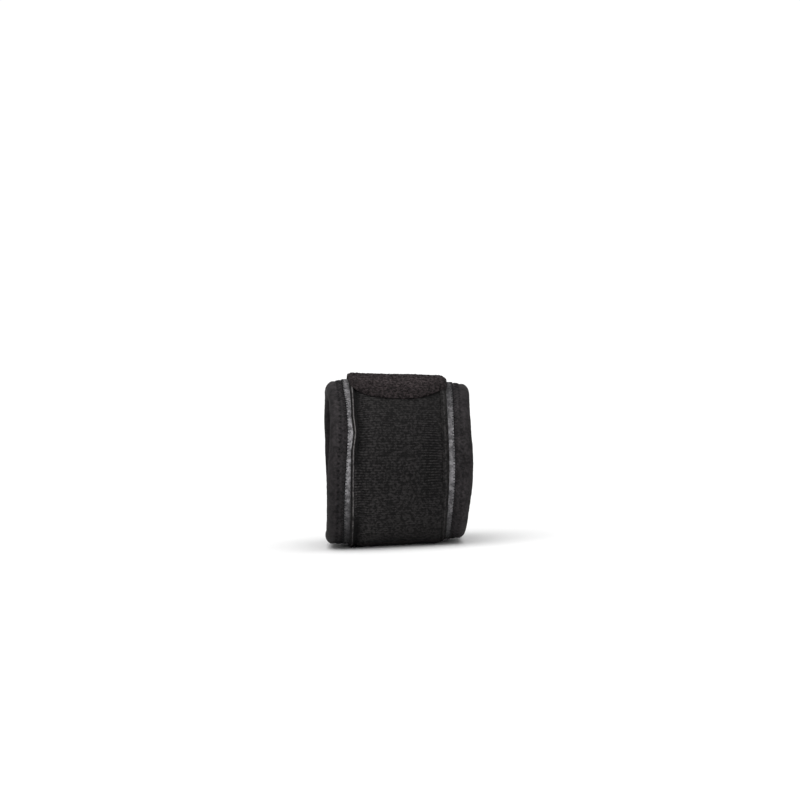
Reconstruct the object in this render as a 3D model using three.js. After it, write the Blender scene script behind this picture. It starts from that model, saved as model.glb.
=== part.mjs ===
// A tennis elbow strap, fastened: a padded forearm cuff with a tension strap round it, lying on its side.
// Millimetres, +Z up. X runs along the forearm, from the elbow edge (-X) to the wrist edge (+X).
// The front of the cuff faces -Y. The origin is at the middle of the flat underside.
//
// Every piece is made straight first, with three numbers for each point: how far it lies along the
// forearm ("across" the strap), its level above or below the strap's outer face, and its place round
// the cuff, which is a length measured from the top, positive towards the front. wrap() then bends
// the piece round the cuff.
import * as THREE from "three";
import { mergeVertices } from "three/addons/utils/BufferGeometryUtils.js";

// The cuff as a whole. Height and depth are measured over the strap, halfway along the forearm.
const BAND_WIDTH = 80;
const CUFF_HEIGHT = 93;
const CUFF_DEPTH = 100;
const CUFF_TAPER = 5.8; // how much lower and less deep the wrist edge is than the elbow edge
const REST_WIDTH = 26; // front to back, of the underside that is pressed flat
const REST_FADE = 14; // over this length beside the flat the strap's relief comes back

// Cloth thicknesses, and the gap between two pieces that touch.
const FOAM_THICKNESS = 3.8;
const BINDING_THICKNESS = 1.0;
const PANEL_THICKNESS = 1.0;
const STRAP_THICKNESS = 2.2;
const TAB_THICKNESS = 1.2;
const GAP = 0.3;

// Widths along the forearm.
const BINDING_WIDTH = 9.7; // seen on the outside of the cuff
const BINDING_TURN_UNDER = 7; // the part of the binding inside the cuff
const STRAP_WIDTH = 54.6; // over both welts
const STRAP_OFFSET = -0.6; // of the strap's middle from the band's, towards the elbow
const WELT_WIDTH = 3.8;

// The strap's relief.
const WELT_RISE = 0.9; // of the elbow-side welt above the strap's face
const FACE_SINK = 0.9; // of the strap's face beside its elbow-side welt
const SHOULDER_DROP = 1.5; // of the wrist-side welt at its outer edge
const SHOULDER_WIDTH = 3.6;

// The hook tab, measured round the cuff.
const TAB_FRONT = 34; // from the top of the cuff to the tip of the tab
const TAB_BACK = 48; // from the top of the cuff to the seam behind
const TAB_TIP_LENGTH = 19; // the rounded stretch at the tip
const TAB_TIP_POWER = 2.5; // 2 would make the tip half an ellipse; a larger power makes it blunter
const STRAP_END_SPACE = 5; // between the two ends of the strap, under the tab
const PRESS_FADE = 12; // over this length beyond the tab the strap's relief comes back

// The directions, above the horizontal, where the cuff's round stretches meet.
const SIDE_ARC_TOP = THREE.MathUtils.degToRad(45);
const SIDE_ARC_FOOT = THREE.MathUtils.degToRad(-45);

// How finely the pieces are faceted round the cuff. The tab's steps are closer together at its tip,
// where they stop a little short of its very end.
const LOOP_STEPS = 56;
const TAB_STEPS = 22;
const TAB_STRAIGHT_STEPS = 13;
const TAB_TIP_TURN = THREE.MathUtils.degToRad(84);

// Levels below the strap's outer face.
const STRAP_UNDERSIDE = -STRAP_THICKNESS;
const PANEL_TOP = STRAP_UNDERSIDE - GAP;
const FOAM_TOP = PANEL_TOP - PANEL_THICKNESS - GAP;
const FOAM_UNDERSIDE = FOAM_TOP - FOAM_THICKNESS;

const FOAM_HALF_WIDTH = BAND_WIDTH / 2 - BINDING_THICKNESS - GAP;
const PANEL_HALF_WIDTH = BAND_WIDTH / 2 - BINDING_WIDTH - GAP;
const WELT_INNER = STRAP_WIDTH / 2 - WELT_WIDTH;
const FACE_HALF_WIDTH = WELT_INNER - GAP;
// The ends of the cuff stand square to the middle line of its slight cone.
const END_LEAN = CUFF_TAPER / 2 / BAND_WIDTH;

// The foam's rounded edge as two quarter arcs, outside to inside, as shares of its thickness.
const FOAM_EDGE = [
  { name: "outer", share: 0.85, from: Math.PI / 2, to: 0, steps: 3 },
  { name: "inner", share: 0.15, from: 0, to: -Math.PI / 2, steps: 2 },
];

// The elbow-side welt: a raised roll with a steep outer side. Across is a share of its width from its
// outer edge, level a share of the strap's thickness, rise a share of WELT_RISE.
const ELBOW_WELT_SECTION = [
  { across: 0.08, level: 0, rise: 0 },
  { across: 1, level: 0, rise: 0 },
  { across: 1, level: 0.6, rise: 0 },
  { across: 0.65, level: 0.85, rise: 0 },
  { across: 0.5, level: 1, rise: 0.4 },
  { across: 0.38, level: 1, rise: 1 },
  { across: 0.22, level: 1, rise: 0.9 },
  { across: 0.08, level: 0.95, rise: 0.2 },
  { across: 0, level: 0.6, rise: 0 },
  { across: 0, level: 0.2, rise: 0 },
];

// The wrist-side welt: a soft shoulder. Across is a share of its width from the strap's face, level a
// share of the strap's thickness. Rows that lie on the shoulder follow shoulderDrop instead.
const WRIST_WELT_SECTION = [
  { across: 0, level: 0, onShoulder: false },
  { across: 0.95, level: 0, onShoulder: false },
  { across: 1, level: 0.15, onShoulder: false },
  { across: 0.95, level: 1, onShoulder: true },
  { across: 0.8, level: 1, onShoulder: true },
  { across: 0.6, level: 1, onShoulder: true },
  { across: 0.4, level: 1, onShoulder: true },
  { across: 0.2, level: 1, onShoulder: true },
  { across: 0, level: 1, onShoulder: true },
];

// Where the tab's section has its corners, as shares of the strap's half width. They are close
// together over the wrist-side shoulder, which the tab follows down.
const TAB_SECTION = [-1, -0.9, -0.45, 0, 0.45, 0.8, 0.87, 0.93, 1];

// Where the strap's elbow-side edge is drawn in: the place as a share of the way round from the top
// to the middle of the underside, the depth and the length as shares of WELT_WIDTH.
const EDGE_PINCHES = [{ place: 0.37, depth: 0.3, length: 3 }];

// Where the edges of the cuff are drawn in by the strap's pull. The place and the length are shares of
// the way round from the top to the middle of the underside, and the depth is a share of
// BINDING_WIDTH. The front has positive places. The edge takes all of the depth, and the cuff's
// middle none: DRAWN_PART says from where to where it grows, as shares of half the cuff's width.
const DRAWN_IN = {
  elbow: [
    { place: 0.37, depth: 0.12, length: 0.28 },
    { place: -0.65, depth: 0.1, length: 0.35 },
  ],
  wrist: [
    { place: 0.37, depth: 0.14, length: 0.36 },
    { place: 0.84, depth: 0.39, length: 0.34 },
    { place: -0.45, depth: 0.12, length: 0.4 },
  ],
};
const DRAWN_PART = { from: 0.45, to: 0.92 };

// The strap's face from its elbow side to its wrist side: the share of FACE_SINK at each place.
const FACE_SECTION = [
  { across: -1, sink: 1 },
  { across: -0.93, sink: 0.8 },
  { across: -0.75, sink: 0.15 },
  { across: 0, sink: 0 },
  { across: 0.6, sink: 0.1 },
  { across: 0.88, sink: 0.4 },
  { across: 1, sink: 0.4 },
];

// A loop of the cuff: a flat underside and three tangent arcs on each side, for a given height and depth.
function loopAt(height, depth) {
  const halfDepth = depth / 2;
  const halfRest = REST_WIDTH / 2;
  const [cosTop, sinTop] = [Math.cos(SIDE_ARC_TOP), Math.sin(SIDE_ARC_TOP)];
  const [cosFoot, sinFoot] = [Math.cos(SIDE_ARC_FOOT), Math.sin(SIDE_ARC_FOOT)];
  const footShare = (1 + sinFoot) / cosFoot;
  const topShare = (1 - sinTop) / cosTop;
  const side =
    (height - (halfDepth - halfRest) * footShare - halfDepth * topShare) /
    (1 - sinFoot - (1 - cosFoot) * footShare - topShare);
  const foot = (halfDepth - halfRest - side * (1 - cosFoot)) / cosFoot;
  const top = side + (halfDepth - side) / cosTop;
  return [
    { name: "top", radius: top, from: Math.PI / 2, to: SIDE_ARC_TOP, y: 0, z: height - top },
    {
      name: "side",
      radius: side,
      from: SIDE_ARC_TOP,
      to: SIDE_ARC_FOOT,
      y: halfDepth - side,
      z: height - top + (top - side) * sinTop,
    },
    { name: "foot", radius: foot, from: SIDE_ARC_FOOT, to: -Math.PI / 2, y: halfRest, z: foot },
  ];
}

// The places where each arc starts and ends, on the loop halfway along the forearm.
let placeSoFar = 0;
const ARC_PLACES = loopAt(CUFF_HEIGHT, CUFF_DEPTH).map((arc) => {
  const start = placeSoFar;
  placeSoFar += arc.radius * (arc.from - arc.to);
  return { start, end: placeSoFar };
});
const HALF_LOOP = placeSoFar + REST_WIDTH / 2;

// How far towards the cuff's middle a point lies because the edge on its side is drawn in.
function drawnIn(across, place) {
  const edgeShare = Math.abs(across) / (BAND_WIDTH / 2);
  const share = THREE.MathUtils.smoothstep(edgeShare, DRAWN_PART.from, DRAWN_PART.to);
  return DRAWN_IN[across < 0 ? "elbow" : "wrist"].reduce((sum, drawn) => {
    const apart = Math.abs(place - drawn.place * HALF_LOOP);
    const away = Math.min(apart, 2 * HALF_LOOP - apart);
    const near = 1 - THREE.MathUtils.smoothstep(away, 0, drawn.length * HALF_LOOP);
    return sum + share * near * drawn.depth * BINDING_WIDTH;
  }, 0);
}

// The point for a place across the cuff, a level and a place round it.
function pointOnCuff(straightAcross, level, place) {
  const across = straightAcross - Math.sign(straightAcross) * drawnIn(straightAcross, place);
  const taper = (-CUFF_TAPER * across) / BAND_WIDTH;
  const arcs = loopAt(CUFF_HEIGHT + taper, CUFF_DEPTH + taper);
  const fromTop = Math.abs(place);
  const index = ARC_PLACES.findIndex(({ end }) => fromTop <= end);
  let y = HALF_LOOP - fromTop;
  let z = -level;
  if (index >= 0) {
    const arc = arcs[index];
    const { start, end } = ARC_PLACES[index];
    const angle = THREE.MathUtils.mapLinear(fromTop, start, end, arc.from, arc.to);
    y = arc.y + (arc.radius + level) * Math.cos(angle);
    z = arc.z + (arc.radius + level) * Math.sin(angle);
  }
  return new THREE.Vector3(across + (z - CUFF_HEIGHT / 2) * END_LEAN, -Math.sign(place) * y, z);
}

// 0 where the surface below presses the strap flat, 1 away from it.
function clearOfRest(place) {
  const fromRest = HALF_LOOP - REST_WIDTH / 2 - Math.abs(place);
  return THREE.MathUtils.smoothstep(fromRest, 0, REST_FADE);
}

// 1 where the strap's relief shows in full, 0 where the tab or the surface below presses it flat.
// The tab presses it from its seam to the place given as frontEnd.
function reliefAt(place, frontEnd) {
  const pastTab = place > 0 ? place - frontEnd : -place - TAB_BACK;
  return clearOfRest(place) * THREE.MathUtils.smoothstep(pastTab, 0, PRESS_FADE);
}

// How far the strap's elbow-side edge is drawn in at a place.
function pinchAt(place) {
  return EDGE_PINCHES.reduce((sum, pinch) => {
    const away = Math.abs(place - pinch.place * HALF_LOOP);
    const near = 1 - THREE.MathUtils.smoothstep(away, 0, pinch.length * WELT_WIDTH);
    return sum + near * pinch.depth * WELT_WIDTH;
  }, 0);
}

// How far the strap and what lies on it fall away towards the wrist-side edge.
function shoulderDrop(across) {
  const past = Math.max(0, across - (STRAP_WIDTH / 2 - SHOULDER_WIDTH)) / SHOULDER_WIDTH;
  return SHOULDER_DROP * past ** 2;
}

// A closed ring from a closed section of { across, level } points.
function ring(section) {
  const roundRadius = HALF_LOOP / Math.PI;
  const profile = [...section, section[0]].map((p) => new THREE.Vector2(roundRadius + p.level, p.across));
  const geometry = new THREE.LatheGeometry(profile, LOOP_STEPS);
  return wrap(geometry, (x, y, z) => ({
    across: y,
    level: Math.hypot(x, z) - roundRadius,
    place: roundRadius * Math.atan2(x, z),
  }));
}

// A strip with two ends, from a closed section of { across, level } points. It is extruded from start
// to start + length, and shaped says where each of its points goes.
function strip(section, start, length, steps, shaped) {
  const outline = new THREE.Shape(section.map((p) => new THREE.Vector2(p.across, p.level)));
  const geometry = new THREE.ExtrudeGeometry(outline, { depth: length, steps, bevelEnabled: false });
  return wrap(geometry, (x, y, z) => shaped(x, y, start + z));
}

// Bends a straight piece round the cuff: placeOf gives each vertex's across, level and place.
function wrap(geometry, placeOf) {
  const position = geometry.getAttribute("position");
  for (let i = 0; i < position.count; i++) {
    const { across, level, place } = placeOf(position.getX(i), position.getY(i), position.getZ(i));
    const point = pointOnCuff(across, level, place);
    position.setXYZ(i, point.x, point.y, point.z);
  }
  geometry.deleteAttribute("normal");
  geometry.deleteAttribute("uv");
  const closed = mergeVertices(geometry, 1e-3);
  closed.computeVertexNormals();
  return closed;
}

// The wrist-side edge of the foam, swollen outwards by a distance, from outside to inside.
function edgeContour(swell) {
  const points = FOAM_EDGE.flatMap(({ name, share, from, to, steps }) => {
    const radius = FOAM_THICKNESS * share;
    const centre = name === "outer" ? FOAM_TOP - radius : FOAM_UNDERSIDE + radius;
    const arc = new THREE.EllipseCurve(
      FOAM_HALF_WIDTH - radius, centre, radius + swell, radius + swell, from, to, true,
    );
    const made = arc.getPoints(steps);
    return name === "outer" ? made : made.slice(1);
  });
  return points.map((p) => ({ across: p.x, level: p.y }));
}

function mirrored(section) {
  return section.map((p) => ({ across: -p.across, level: p.level })).reverse();
}

function foamBand() {
  const wristEdge = edgeContour(0);
  return ring([...wristEdge, ...mirrored(wristEdge)]);
}

// The wrist-side binding: a strip of stretch cloth folded round the foam's edge.
function bindingSection() {
  const outer = edgeContour(GAP + BINDING_THICKNESS);
  const inner = edgeContour(GAP).reverse();
  const outsideEnd = BAND_WIDTH / 2 - BINDING_WIDTH;
  const insideEnd = BAND_WIDTH / 2 - BINDING_TURN_UNDER;
  return [
    { across: outsideEnd, level: outer[0].level },
    ...outer,
    { across: insideEnd, level: outer.at(-1).level },
    { across: insideEnd, level: inner[0].level },
    ...inner,
    { across: outsideEnd, level: inner.at(-1).level },
  ];
}

function greyPanel() {
  return ring([
    { across: -PANEL_HALF_WIDTH, level: PANEL_TOP },
    { across: PANEL_HALF_WIDTH, level: PANEL_TOP },
    { across: PANEL_HALF_WIDTH, level: PANEL_TOP - PANEL_THICKNESS },
    { across: -PANEL_HALF_WIDTH, level: PANEL_TOP - PANEL_THICKNESS },
  ]);
}

// A strip that runs from the strap's front end, under the tab, round the cuff to its back end.
// Across is measured from the middle of the strap.
function aroundCuff(section, shaped) {
  const length = 2 * HALF_LOOP - STRAP_END_SPACE;
  return strip(section, STRAP_END_SPACE / 2, length, LOOP_STEPS, (x, y, along) => {
    const place = along > HALF_LOOP ? along - 2 * HALF_LOOP : along;
    const { across, level } = shaped(x, y, place);
    return { across: across + STRAP_OFFSET, level, place };
  });
}

function tensionStrap() {
  const corners = [-FACE_HALF_WIDTH, FACE_HALF_WIDTH];
  const outline = [
    ...corners.map((across) => ({ across, level: STRAP_UNDERSIDE })),
    ...FACE_SECTION.map((row) => ({
      across: row.across * FACE_HALF_WIDTH,
      level: -row.sink * FACE_SINK,
    })).reverse(),
  ];
  return aroundCuff(outline, (across, level, place) => ({
    across: across + (pinchAt(place) * Math.max(0, -across)) / FACE_HALF_WIDTH,
    level: level > STRAP_UNDERSIDE / 2 ? level * reliefAt(place, TAB_FRONT) : level,
  }));
}

function elbowWelt() {
  const outline = ELBOW_WELT_SECTION.map((row) => ({
    across: -STRAP_WIDTH / 2 + row.across * WELT_WIDTH,
    level: STRAP_UNDERSIDE + row.level * STRAP_THICKNESS + row.rise * WELT_RISE,
  }));
  const tabLeavesWelt = TAB_FRONT - TAB_TIP_LENGTH / 2;
  return aroundCuff(outline, (across, level, place) => ({
    across: across + pinchAt(place),
    level: level > 0 ? level * reliefAt(place, tabLeavesWelt) : level,
  }));
}

function wristWelt() {
  const outline = WRIST_WELT_SECTION.map((row) => ({
    across: WELT_INNER + row.across * WELT_WIDTH,
    level: row.onShoulder ? 0 : STRAP_UNDERSIDE * (1 - row.level),
  }));
  return aroundCuff(outline, (across, level) => ({
    across,
    level: level === 0 ? -shoulderDrop(across) : level,
  }));
}

// The tab's half width as a share of the strap's, narrowing along a blunt curve to its tip.
function tabWidthShare(place) {
  const intoTip = Math.max(0, place - (TAB_FRONT - TAB_TIP_LENGTH)) / TAB_TIP_LENGTH;
  return Math.max(0, 1 - intoTip ** TAB_TIP_POWER) ** (1 / TAB_TIP_POWER);
}

// The place of one of the tab's steps, from its seam behind to its tip.
function tabPlace(step) {
  const tipStart = TAB_FRONT - TAB_TIP_LENGTH;
  if (step <= TAB_STRAIGHT_STEPS) {
    return THREE.MathUtils.mapLinear(step, 0, TAB_STRAIGHT_STEPS, -TAB_BACK, tipStart);
  }
  const turn = THREE.MathUtils.mapLinear(step, TAB_STRAIGHT_STEPS, TAB_STEPS, 0, TAB_TIP_TURN);
  return tipStart + TAB_TIP_LENGTH * Math.sin(turn) ** (2 / TAB_TIP_POWER);
}

function hookTab() {
  const lower = TAB_SECTION.map((share) => ({ across: (share * STRAP_WIDTH) / 2, level: GAP }));
  const upper = lower.map((p) => ({ across: p.across, level: p.level + TAB_THICKNESS })).reverse();
  return strip([...lower, ...upper], 0, TAB_STEPS, TAB_STEPS, (x, level, step) => {
    const place = tabPlace(step);
    const across = x * tabWidthShare(place);
    return { across: across + STRAP_OFFSET, level: level - shoulderDrop(across), place };
  });
}

const knitCloth = { roughness: 0.9, metalness: 0 };
const MATERIALS = {
  foam: { color: 0x232225, ...knitCloth },
  binding: { color: 0x2a2930, ...knitCloth },
  greyLoop: { color: 0x77747a, roughness: 0.95, metalness: 0 },
  blackKnit: { color: 0x222122, ...knitCloth },
  hookPile: { color: 0x302a2c, roughness: 1, metalness: 0 },
};

const group = new THREE.Group();

function add(name, geometry, material) {
  const mesh = new THREE.Mesh(geometry, new THREE.MeshStandardMaterial(MATERIALS[material]));
  mesh.name = name;
  group.add(mesh);
}

add("foam_band", foamBand(), "foam");
add("elbow_edge_binding", ring(mirrored(bindingSection())), "binding");
add("wrist_edge_binding", ring(bindingSection()), "binding");
add("grey_panel", greyPanel(), "greyLoop");
add("tension_strap", tensionStrap(), "blackKnit");
add("elbow_side_welt", elbowWelt(), "blackKnit");
add("wrist_side_welt", wristWelt(), "blackKnit");
add("hook_tab", hookTab(), "hookPile");

export default group;
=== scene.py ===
# %% [markdown]
# # A tennis elbow strap
# The real object is a padded cuff, closed into a loop. A foam band with two bound edges carries a
# strip of grey loop cloth, and a black knitted strap runs round it under a hook tab. The cuff lies
# on its side here, with its hollow open from left to right.
#
# The frame holds the plain solids of the same object, in metres, and tells where each piece belongs.

# %% Start
import math

import bpy
import numpy as np
from mathutils import Matrix, Vector


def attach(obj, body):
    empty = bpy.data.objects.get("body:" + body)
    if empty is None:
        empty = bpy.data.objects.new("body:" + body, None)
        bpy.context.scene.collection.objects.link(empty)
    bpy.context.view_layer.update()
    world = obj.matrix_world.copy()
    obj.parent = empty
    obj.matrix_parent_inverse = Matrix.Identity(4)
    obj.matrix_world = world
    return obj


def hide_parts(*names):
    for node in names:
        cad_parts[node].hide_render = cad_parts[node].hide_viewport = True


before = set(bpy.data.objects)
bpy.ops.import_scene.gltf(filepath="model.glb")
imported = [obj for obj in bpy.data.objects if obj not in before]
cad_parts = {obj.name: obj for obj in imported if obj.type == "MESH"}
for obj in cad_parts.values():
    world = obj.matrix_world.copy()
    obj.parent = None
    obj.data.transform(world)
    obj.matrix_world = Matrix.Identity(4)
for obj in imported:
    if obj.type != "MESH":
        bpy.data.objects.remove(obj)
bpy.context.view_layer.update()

# %% [markdown]
# ## The cuff's bend
# Every piece of the cuff was cut flat and sewn before it was closed into a loop. It could be drawn
# straight into its bent shape, but then each rib, stitch and fibre would need its own bent path.
# So each piece is worked out flat, in three numbers: how far a point lies across the strap, its level
# above the strap's outer face, and its place round the cuff, measured from the top. One function
# then bends them all in the same way.

# %% Sizes of the cuff
BAND_WIDTH = 0.080
CUFF_HEIGHT = 0.093
CUFF_DEPTH = 0.100
CUFF_TAPER = 0.0058
REST_WIDTH = 0.026
END_LEAN = CUFF_TAPER / 2 / BAND_WIDTH
ARC_TURN = math.radians(45)


def arcs_of(height, depth):
    """Radii of the three tangent arcs on each side of a loop with a flat underside.

    The top and foot arcs each turn 45 degrees and the side arc 90. Their three radii are the ones for
    which the loop has the height and depth that are asked for.
    """
    share = math.sqrt(2) - 1
    half_depth, half_rest, slope = depth / 2, REST_WIDTH / 2, math.cos(ARC_TURN)
    spare = height - (half_depth - half_rest) * share - half_depth * share
    side = spare / (1 + slope - (1 - slope) * share - share)
    foot = (half_depth - half_rest - side * (1 - slope)) / slope
    top = side + (half_depth - side) / slope
    return top, side, foot


TOP_END, SIDE_LENGTH, FOOT_LENGTH = np.multiply(
    arcs_of(CUFF_HEIGHT, CUFF_DEPTH), (ARC_TURN, 2 * ARC_TURN, ARC_TURN)
)
SIDE_END = TOP_END + SIDE_LENGTH
FOOT_END = SIDE_END + FOOT_LENGTH
HALF_LOOP = FOOT_END + REST_WIDTH / 2
LOOP = 2 * HALF_LOOP


# Where the strap's pull draws the cuff's edges in: the place as a share of half the loop, positive in
# front, the depth in metres, below zero where the edge is let out, and the length as a share.
DRAWN_IN = {
    "elbow": [(0.28, 0.0017, 0.30), (0.92, -0.0009, 0.25), (-0.65, 0.0010, 0.35)],
    "wrist": [(0.24, 0.0012, 0.36), (0.84, 0.0034, 0.40), (-0.45, 0.0012, 0.4), (-0.82, 0.0024, 0.38)],
}
DRAWN_PART = (0.45, 0.92)  # from none of it to all of it, as shares of half the band's width
# Over the top both edges bend down a little towards the hollow.
TOP_BEND = {"elbow": 0.0016, "wrist": 0.0008}
TOP_BEND_LENGTH = 0.3  # as a share of half the loop
TOP_BEND_PART = (0.72, 1.02)  # as DRAWN_PART


def smooth_step(value, low, high):
    """An S-curve from 0 at low to 1 at high."""
    share = np.clip((value - low) / (high - low), 0, 1)
    return share * share * (3 - 2 * share)


def swell(value, centre, width):
    """A rounded rise, 1 at its centre and gone one width away on each side."""
    return 1 - smooth_step(np.abs(value - centre), 0, width)


def rises(place, table):
    """A sum of rounded rises round the cuff, from rows of centre, height and length."""
    total = 0 * place
    for centre, height, length in table:
        apart = np.abs(place - centre * HALF_LOOP)
        total = total + height * swell(np.minimum(apart, LOOP - apart), 0, length * HALF_LOOP)
    return total


def on_cuff(across, level, place):
    """Bends points round the cuff.

    First the edges are drawn in, by their rises, and bent down a little over the top. Then the
    distance from the top picks one of the arcs or the flat underside. On an arc the point lies at the
    arc's radius plus its level, in the direction that the place gives. The cuff is slightly conical,
    so height and depth shrink evenly across it, and its ends lean with that cone.
    """
    across, level, place = np.broadcast_arrays(across, level, place)
    edge_share = np.abs(across) / (BAND_WIDTH / 2)
    pull = np.where(across < 0, rises(place, DRAWN_IN["elbow"]), -rises(place, DRAWN_IN["wrist"]))
    bend = np.where(across < 0, TOP_BEND["elbow"], TOP_BEND["wrist"])
    bend = bend * swell(place, 0, TOP_BEND_LENGTH * HALF_LOOP)
    level = level - bend * smooth_step(edge_share, *TOP_BEND_PART)
    across = across + pull * smooth_step(edge_share, *DRAWN_PART)
    taper = -CUFF_TAPER * across / BAND_WIDTH
    height, depth = CUFF_HEIGHT + taper, CUFF_DEPTH + taper
    top, side, foot = arcs_of(height, depth)
    far = np.abs(place)
    slope = math.cos(ARC_TURN)
    top_turn = math.pi / 2 - far / TOP_END * ARC_TURN
    side_turn = ARC_TURN - (far - TOP_END) / SIDE_LENGTH * 2 * ARC_TURN
    foot_turn = -ARC_TURN - (far - SIDE_END) / FOOT_LENGTH * ARC_TURN
    where = [far <= TOP_END, far <= SIDE_END, far <= FOOT_END]
    turn = np.select(where, [top_turn, side_turn, foot_turn], 0)
    radius = np.select(where, [top, side, foot], 0) + level
    centre_y = np.select(where, [0 * far, depth / 2 - side, 0 * far + REST_WIDTH / 2], 0)
    centre_z = np.select(where, [height - top, height - top + (top - side) * slope, foot], 0)
    y = np.where(far <= FOOT_END, centre_y + radius * np.cos(turn), HALF_LOOP - far)
    z = np.where(far <= FOOT_END, centre_z + radius * np.sin(turn), -level)
    x = across + (z - CUFF_HEIGHT / 2) * END_LEAN
    return np.stack([x, -np.sign(place) * y, z], axis=-1)


print("the loop is", round(LOOP * 1000, 1), "mm round")

# %% [markdown]
# ## Uneven cloth
# No real cloth is perfectly even. Blender's own noise could move the points, but it doesn't know
# where the loop closes. This noise lives on a lattice that goes round the cuff a whole number of
# times, so it meets itself without a step.

# %% Noise that closes round the cuff


def soft_noise(seed, place, across, size_round, size_across):
    """Smooth random heights between -1 and 1.

    Random numbers sit on a lattice with the given spacings. Between them the height follows an
    S-curve, first round the cuff and then across it.
    """
    columns = max(3, round(LOOP / size_round))
    rows = math.ceil(BAND_WIDTH * 1.5 / size_across) + 2
    lattice = np.random.default_rng(seed).uniform(-1, 1, (columns, rows))
    u = (np.asarray(place) / LOOP % 1) * columns
    v = np.asarray(across) / size_across + rows / 2
    u, v = np.broadcast_arrays(u, v)
    column, row = np.floor(u).astype(int), np.clip(np.floor(v).astype(int), 0, rows - 2)
    ease_u, ease_v = smooth_step(u - column, 0, 1), smooth_step(v - row, 0, 1)
    column, following = column % columns, (column + 1) % columns
    near = lattice[column, row] * (1 - ease_u) + lattice[following, row] * ease_u
    far = lattice[column, row + 1] * (1 - ease_u) + lattice[following, row + 1] * ease_u
    return near * (1 - ease_v) + far * ease_v


loop_ends = soft_noise(1, np.array([-HALF_LOOP, HALF_LOOP]), 0.0, 0.010, 0.010)
print("noise at the loop's two ends:", loop_ends.round(3))

# %% [markdown]
# ## From arrays to meshes
# Each piece is a skin: a closed section carried round the cuff, point by point on a grid. The faces
# follow from the grid's own numbering, so no face is written by hand. The skin also gets a UV map in
# metres of cloth, which the materials use for patterns that run along the cloth.

# %% Skins


def mesh_object(name, points, faces, corner_uv=None, marks=None):
    """Makes a mesh object at the origin from points and faces, with marks as point attributes."""
    mesh = bpy.data.meshes.new(name)
    mesh.from_pydata(points.reshape(-1, 3).tolist(), [], faces)
    mesh.polygons.foreach_set("use_smooth", np.ones(len(mesh.polygons), dtype=bool))
    if corner_uv is not None:
        layer = mesh.uv_layers.new(name="cloth")
        layer.data.foreach_set("uv", corner_uv.ravel().astype(np.float32))
    for mark, values in (marks or {}).items():
        attribute = mesh.attributes.new(mark, "FLOAT", "POINT")
        attribute.data.foreach_set("value", np.asarray(values, dtype=np.float32).ravel())
    mesh.update()
    piece = bpy.data.objects.new(name, mesh)
    bpy.context.scene.collection.objects.link(piece)
    print(name, "has", len(mesh.polygons), "faces")
    return piece


def skin(name, across, level, place, closed, marks=None):
    """A closed skin from grids of across, level and place.

    Each row of the grids is one closed section, first along the outside from the elbow side to the
    wrist side, then back along the inside. Rows follow one another round the cuff. A closed skin
    joins its last row to its first, and an open one gets a cap at each end.
    """
    across, level, place = np.broadcast_arrays(across, level, place)
    rows, ring = across.shape
    index = np.arange(rows * ring).reshape(rows, ring)
    here = index if closed else index[:-1]
    ahead = np.roll(index, -1, axis=0) if closed else index[1:]
    corners = [here, ahead, np.roll(ahead, -1, axis=1), np.roll(here, -1, axis=1)]
    quads = np.stack(corners, axis=-1).reshape(-1, 4)
    step = np.hypot(
        np.diff(across, axis=1, append=across[:, :1]), np.diff(level, axis=1, append=level[:, :1])
    )
    girth = np.concatenate([[0], np.cumsum(step.mean(axis=0))]) - BAND_WIDTH / 2
    along = np.unwrap(place[:, 0], period=LOOP)
    if closed:
        along = np.append(along, along[0] + LOOP)
    grid = (len(along) - 1, ring)
    u = [np.broadcast_to(side[:, None], grid) for side in (along[:-1], along[1:], along[1:], along[:-1])]
    v = [np.broadcast_to(side[None, :], grid) for side in (girth[:-1], girth[:-1], girth[1:], girth[1:])]
    uv = np.stack([np.stack(u, axis=-1), np.stack(v, axis=-1)], axis=-1).reshape(-1, 2)
    faces = quads.tolist()
    if not closed:
        faces += [index[0].tolist(), index[-1][::-1].tolist()]
        ends = [np.stack([np.full(ring, along[row]), girth[:-1]], axis=-1) for row in (0, -1)]
        uv = np.concatenate([uv, ends[0], ends[1][::-1]])
    return mesh_object(name, on_cuff(across, level, place), faces, uv, marks)


# %% [markdown]
# Fine threads are far too many to draw one by one: the loops of the pile and the stitches of the
# seams. All of one kind are worked out together. Each is a small tube bent like a staple, with both
# ends in the cloth.

# %% Threads


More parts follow.
